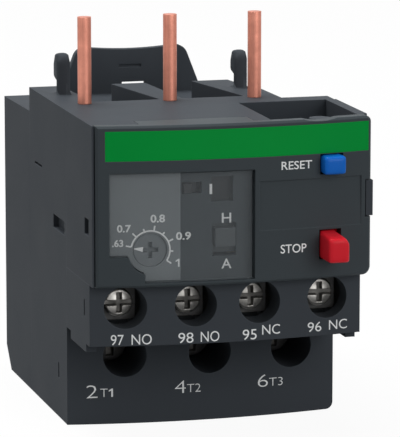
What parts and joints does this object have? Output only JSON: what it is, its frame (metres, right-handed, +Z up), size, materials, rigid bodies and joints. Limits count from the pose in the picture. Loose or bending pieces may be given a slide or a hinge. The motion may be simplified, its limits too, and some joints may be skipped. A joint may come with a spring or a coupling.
{
  "type": "thermal overload relay",
  "caption": "Motor overload relay with a current dial, reset and stop buttons, screw terminals, and line pins and a hook for mounting under a contactor.",
  "frame": {"origin": "middle of the envelope seen from above, at the level of the lower edge", "axes": "+X to the right of the fascia, +Y from the fascia to the rear, +Z up along the line pins"},
  "size_m": [0.045, 0.07, 0.0648],
  "materials": {
    "housing": "fine satin moulding grain, dark grey",
    "fascia": "smooth satin, dark grey",
    "band": "smooth green inlay",
    "scale": "smooth grey plate",
    "cover": "clear smoke-tinted plastic",
    "dial": "smooth grey",
    "slide": "smooth grey",
    "reset": "smooth blue",
    "stop": "smooth red",
    "inner": "natural moulding",
    "copper": "drawn copper",
    "contact": "stamped brass",
    "steel": "nickel-plated steel",
    "bimetal": "rolled strip",
    "spring": "drawn spring wire"
  },
  "bodies": {
    "base": {"chamber_housing": "housing", "rear_cover": "housing", "mechanism_case": "housing", "control_block": "housing", "fascia": "fascia", "colour_band": "band", "scale_plate": "scale", "reset_spring": "spring", "stop_spring": "spring", "carrier_spring": "spring", "line_pin_1": "copper", "line_pin_2": "copper", "line_pin_3": "copper", "power_plate_1": "contact", "power_plate_2": "contact", "power_plate_3": "contact", "control_plate_97": "contact", "control_plate_98": "contact", "control_plate_95": "contact", "control_plate_96": "contact"},
    "cover": {"window_cover": "cover"},
    "dial": {"adjustment_dial": "dial"},
    "selector": {"mode_selector": "slide"},
    "test_slide": {"test_slider": "slide"},
    "reset": {"reset_button": "reset"},
    "stop": {"stop_button": "stop"},
    "carrier": {"contact_carrier": "inner", "make_bridge": "contact", "break_bridge": "contact"},
    "lever": {"trip_lever": "inner"},
    "drive": {"drive_bar": "inner"},
    "differential": {"differential_bar": "inner"},
    "pole_1": {"bimetal_strip_1": "bimetal", "heater_winding_1": "spring"},
    "pole_2": {"bimetal_strip_2": "bimetal", "heater_winding_2": "spring"},
    "pole_3": {"bimetal_strip_3": "bimetal", "heater_winding_3": "spring"},
    "power_clamp_1": {"power_clamp_1": "steel"},
    "power_screw_1": {"power_screw_1": "steel"},
    "power_clamp_2": {"power_clamp_2": "steel"},
    "power_screw_2": {"power_screw_2": "steel"},
    "power_clamp_3": {"power_clamp_3": "steel"},
    "power_screw_3": {"power_screw_3": "steel"},
    "control_clamp_97": {"control_clamp_97": "steel"},
    "control_screw_97": {"control_screw_97": "steel"},
    "control_clamp_98": {"control_clamp_98": "steel"},
    "control_screw_98": {"control_screw_98": "steel"},
    "control_clamp_95": {"control_clamp_95": "steel"},
    "control_screw_95": {"control_screw_95": "steel"},
    "control_clamp_96": {"control_clamp_96": "steel"},
    "control_screw_96": {"control_screw_96": "steel"}
  },
  "joints": [
    {"name": "cover_open", "type": "hinge", "parent": "base", "child": "cover", "pos_m": [0.0019, -0.03018, 0.03495], "axis": [0, 0, 1], "range_deg": [0, 95]},
    {"name": "dial_turn", "type": "hinge", "parent": "base", "child": "dial", "pos_m": [-0.01345, -0.0207, 0.0313], "axis": [0, 1, 0], "range_deg": [0, 200]},
    {"name": "selector_shift", "type": "slide", "parent": "base", "child": "selector", "axis": [0, 0, -1], "range_m": [0, 0.0013]},
    {"name": "test_push", "type": "slide", "parent": "base", "child": "test_slide", "axis": [1, 0, 0], "range_m": [0, 0.0013], "stiffness_N_per_m": 150, "springref_m": -0.001},
    {"name": "reset_press", "type": "slide", "parent": "base", "child": "reset", "axis": [0, 1, 0], "range_m": [0, 0.0022], "stiffness_N_per_m": 300, "springref_m": -0.001, "deforming": ["reset_spring"]},
    {"name": "stop_press", "type": "slide", "parent": "base", "child": "stop", "axis": [0, 1, 0], "range_m": [0, 0.003], "stiffness_N_per_m": 300, "springref_m": -0.001, "deforming": ["stop_spring"]},
    {"name": "bimetal_bend_1", "type": "hinge", "parent": "base", "child": "pole_1", "pos_m": [-0.01335, 0.0193, 0.017], "axis": [0, 1, 0], "range_deg": [0, 2.26], "stiffness_Nm_per_rad": 0.02},
    {"name": "bimetal_bend_2", "type": "hinge", "parent": "base", "child": "pole_2", "pos_m": [0.0005, 0.0193, 0.017], "axis": [0, 1, 0], "range_deg": [0, 2.26], "stiffness_Nm_per_rad": 0.02},
    {"name": "bimetal_bend_3", "type": "hinge", "parent": "base", "child": "pole_3", "pos_m": [0.01435, 0.0193, 0.017], "axis": [0, 1, 0], "range_deg": [0, 2.26], "stiffness_Nm_per_rad": 0.02},
    {"name": "drive_shift", "type": "slide", "parent": "base", "child": "drive", "axis": [1, 0, 0], "range_m": [0, 0.001]},
    {"name": "differential_shift", "type": "slide", "parent": "base", "child": "differential", "axis": [1, 0, 0], "range_m": [0, 0.001]},
    {"name": "lever_trip", "type": "hinge", "parent": "base", "child": "lever", "pos_m": [-0.01, -0.0191, 0.0395], "axis": [0, 1, 0], "range_deg": [0, 11.5]},
    {"name": "carrier_trip", "type": "slide", "parent": "base", "child": "carrier", "axis": [0, 0, -1], "range_m": [0, 0.0014], "deforming": ["carrier_spring"]},
    {"name": "power_clamp_travel_1", "type": "slide", "parent": "base", "child": "power_clamp_1", "axis": [0, 1, 0], "range_m": [0, 0.0042]},
    {"name": "power_screw_turn_1", "type": "hinge", "parent": "power_clamp_1", "child": "power_screw_1", "pos_m": [-0.01335, -0.0007, 0.0111], "axis": [0, 1, 0], "range_deg": [0, 2160]},
    {"name": "power_clamp_travel_2", "type": "slide", "parent": "base", "child": "power_clamp_2", "axis": [0, 1, 0], "range_m": [0, 0.0042]},
    {"name": "power_screw_turn_2", "type": "hinge", "parent": "power_clamp_2", "child": "power_screw_2", "pos_m": [0.0005, -0.0007, 0.0111], "axis": [0, 1, 0], "range_deg": [0, 2160]},
    {"name": "power_clamp_travel_3", "type": "slide", "parent": "base", "child": "power_clamp_3", "axis": [0, 1, 0], "range_m": [0, 0.0042]},
    {"name": "power_screw_turn_3", "type": "hinge", "parent": "power_clamp_3", "child": "power_screw_3", "pos_m": [0.01435, -0.0007, 0.0111], "axis": [0, 1, 0], "range_deg": [0, 2160]},
    {"name": "control_clamp_travel_97", "type": "slide", "parent": "base", "child": "control_clamp_97", "axis": [0, 1, 0], "range_m": [0, 0.0012]},
    {"name": "control_screw_turn_97", "type": "hinge", "parent": "control_clamp_97", "child": "control_screw_97", "pos_m": [-0.017, -0.0222, 0.0221], "axis": [0, 1, 0], "range_deg": [0, 720]},
    {"name": "control_clamp_travel_98", "type": "slide", "parent": "base", "child": "control_clamp_98", "axis": [0, 1, 0], "range_m": [0, 0.0012]},
    {"name": "control_screw_turn_98", "type": "hinge", "parent": "control_clamp_98", "child": "control_screw_98", "pos_m": [-0.006, -0.0222, 0.0221], "axis": [0, 1, 0], "range_deg": [0, 720]},
    {"name": "control_clamp_travel_95", "type": "slide", "parent": "base", "child": "control_clamp_95", "axis": [0, 1, 0], "range_m": [0, 0.0012]},
    {"name": "control_screw_turn_95", "type": "hinge", "parent": "control_clamp_95", "child": "control_screw_95", "pos_m": [0.0043, -0.0222, 0.0221], "axis": [0, 1, 0], "range_deg": [0, 720]},
    {"name": "control_clamp_travel_96", "type": "slide", "parent": "base", "child": "control_clamp_96", "axis": [0, 1, 0], "range_m": [0, 0.0012]},
    {"name": "control_screw_turn_96", "type": "hinge", "parent": "control_clamp_96", "child": "control_screw_96", "pos_m": [0.0156, -0.0222, 0.0221], "axis": [0, 1, 0], "range_deg": [0, 720]}
  ],
  "couplings": [
    {"joint": "bimetal_bend_1", "follows": "bimetal_bend_2", "ratio": 1},
    {"joint": "bimetal_bend_3", "follows": "bimetal_bend_2", "ratio": 1},
    {"joint": "drive_shift", "follows": "bimetal_bend_2", "m_per_rad": 0.025363},
    {"joint": "differential_shift", "follows": "bimetal_bend_2", "m_per_rad": 0.025363},
    {"joint": "lever_trip", "follows": "bimetal_bend_2", "ratio": 5.0907},
    {"joint": "carrier_trip", "follows": "bimetal_bend_2", "m_per_rad": 0.035508},
    {"joint": "power_screw_turn_1", "follows": "power_clamp_travel_1", "rad_per_m": 8976},
    {"joint": "power_screw_turn_2", "follows": "power_clamp_travel_2", "rad_per_m": 8976},
    {"joint": "power_screw_turn_3", "follows": "power_clamp_travel_3", "rad_per_m": 8976},
    {"joint": "control_screw_turn_97", "follows": "control_clamp_travel_97", "rad_per_m": 10472},
    {"joint": "control_screw_turn_98", "follows": "control_clamp_travel_98", "rad_per_m": 10472},
    {"joint": "control_screw_turn_95", "follows": "control_clamp_travel_95", "rad_per_m": 10472},
    {"joint": "control_screw_turn_96", "follows": "control_clamp_travel_96", "rad_per_m": 10472}
  ]
}
